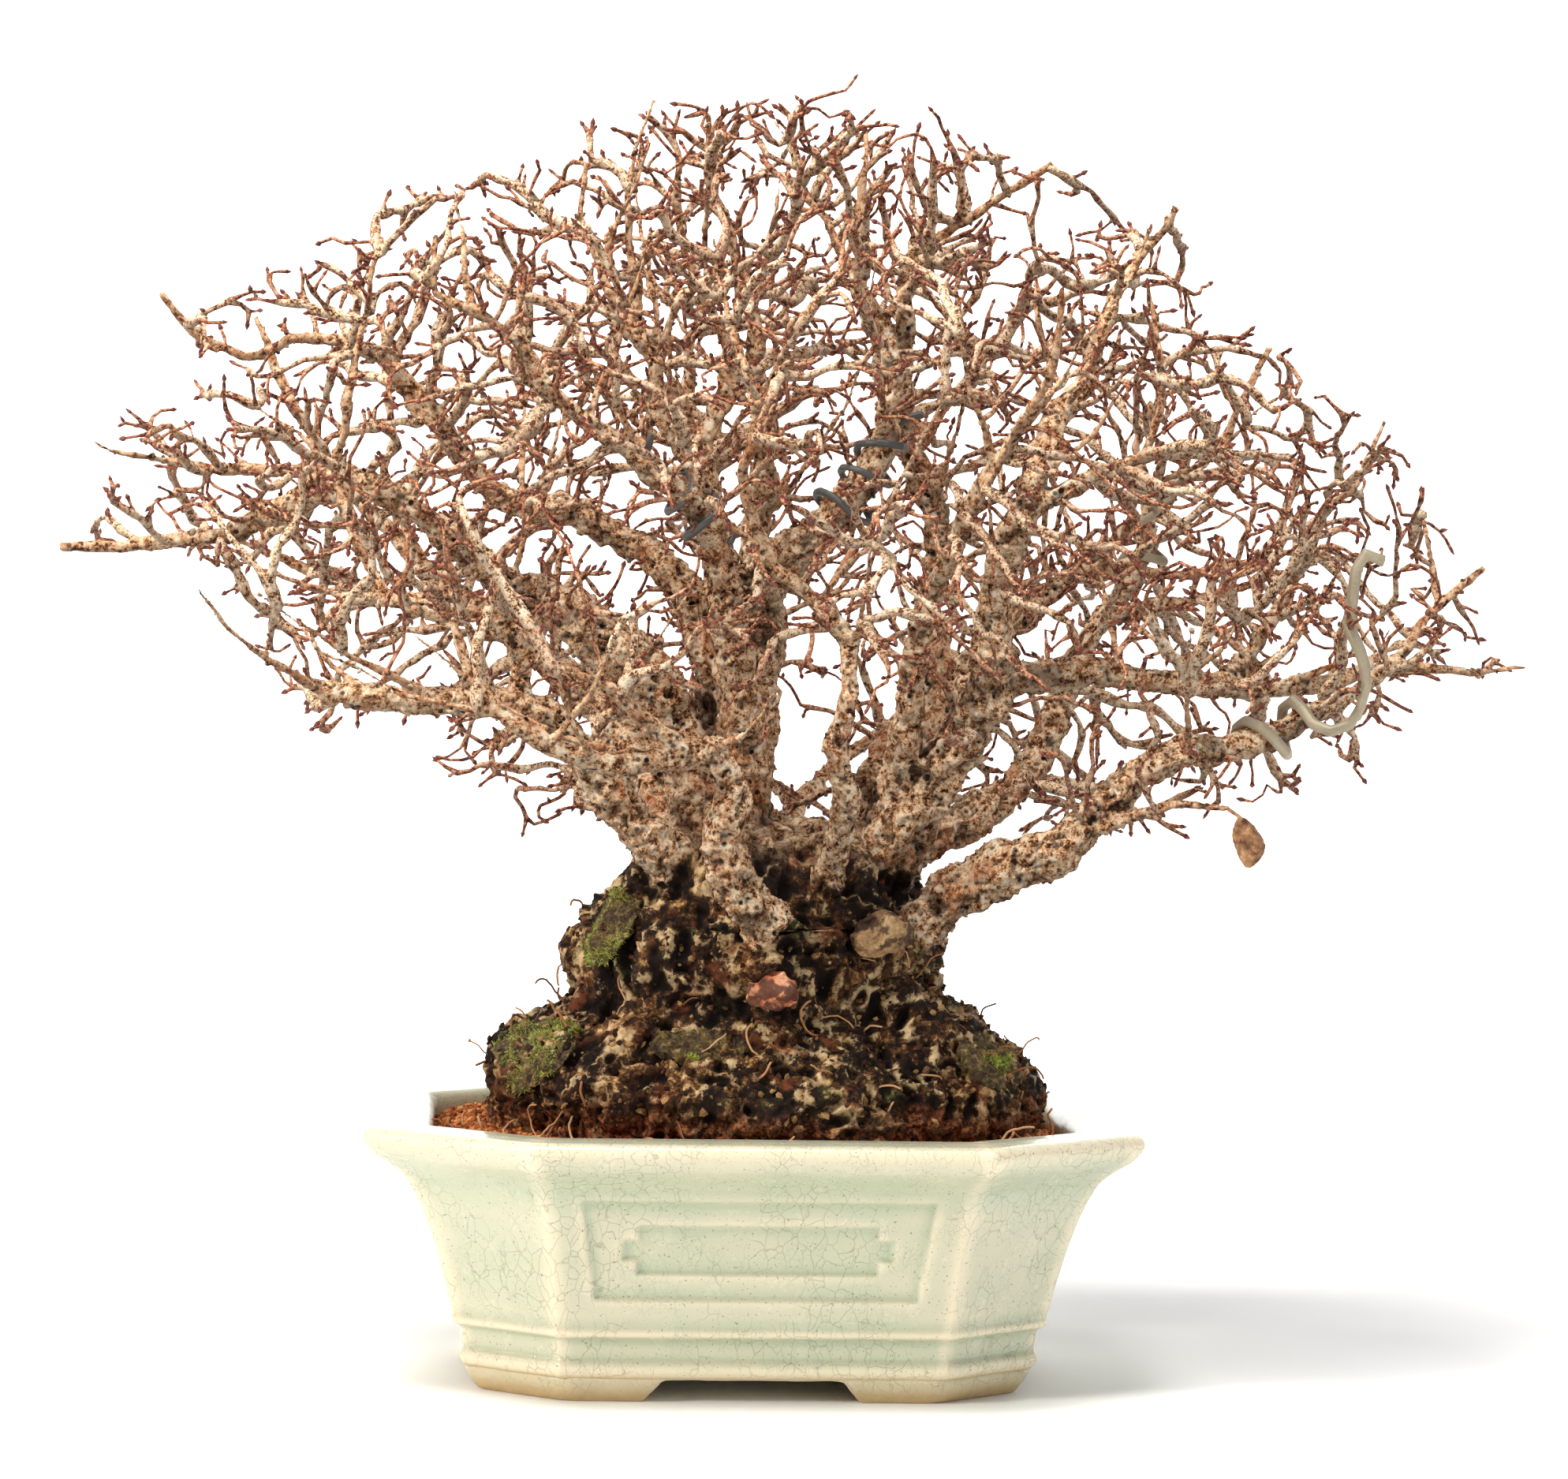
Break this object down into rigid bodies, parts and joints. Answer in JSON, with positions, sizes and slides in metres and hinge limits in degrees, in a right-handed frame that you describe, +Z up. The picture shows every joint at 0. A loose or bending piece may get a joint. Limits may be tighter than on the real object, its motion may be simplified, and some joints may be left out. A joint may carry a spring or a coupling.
{
  "type": "bonsai tree in a pot",
  "caption": "Leafless broad-crowned bonsai with a massive root base, forked limbs and training wires, planted in a glazed cut-corner footed pot.",
  "frame": {"origin": "centre of the overall box at the level of the pot's feet", "axes": "+Z up along the tree, +X along the pot's long side to the right seen from the front, the front of the tree faces -Y"},
  "size_m": [0.5182, 0.2988, 0.4513],
  "materials": {
    "glaze": "gloss",
    "plastic_mesh": "matte",
    "dark_wire": "satin",
    "pale_wire": "satin",
    "soil": "matte",
    "root_bark": "matte",
    "bark": "matte",
    "pink_stone": "matte",
    "tan_stone": "matte",
    "moss": "matte",
    "dry_leaf": "matte"
  },
  "bodies": {
    "root": {"drainage_mesh_left": "plastic_mesh", "drainage_mesh_right": "plastic_mesh", "dry_leaf": "dry_leaf", "limb_apex": "bark", "limb_apex_left": "bark", "limb_centre_right": "bark", "limb_front_crown_right": "bark", "limb_front_riser": "bark", "limb_front_s": "bark", "limb_left_low": "bark", "limb_left_main": "bark", "limb_left_upper": "bark", "limb_rear_centre": "bark", "limb_rear_left": "bark", "limb_rear_low": "bark", "limb_rear_right": "bark", "limb_right_level": "bark", "limb_right_low": "bark", "limb_right_mid": "bark", "limb_right_upper": "bark", "limb_top_centre_left": "bark", "limb_top_left": "bark", "limb_upper_left": "bark", "mesh_clip_left": "dark_wire", "mesh_clip_right": "dark_wire", "moss_back": "moss", "moss_front_ledge": "moss", "moss_left_bump": "moss", "moss_left_shoulder": "moss", "moss_right_lobe": "moss", "pot": "glaze", "soil": "soil", "stone_pink": "pink_stone", "stone_tan": "tan_stone", "trunk": "root_bark", "wire_apex_dark": "dark_wire", "wire_left_dark": "dark_wire", "wire_right_pale": "pale_wire", "wire_upper_right_pale": "pale_wire"}
  },
  "joints": []
}
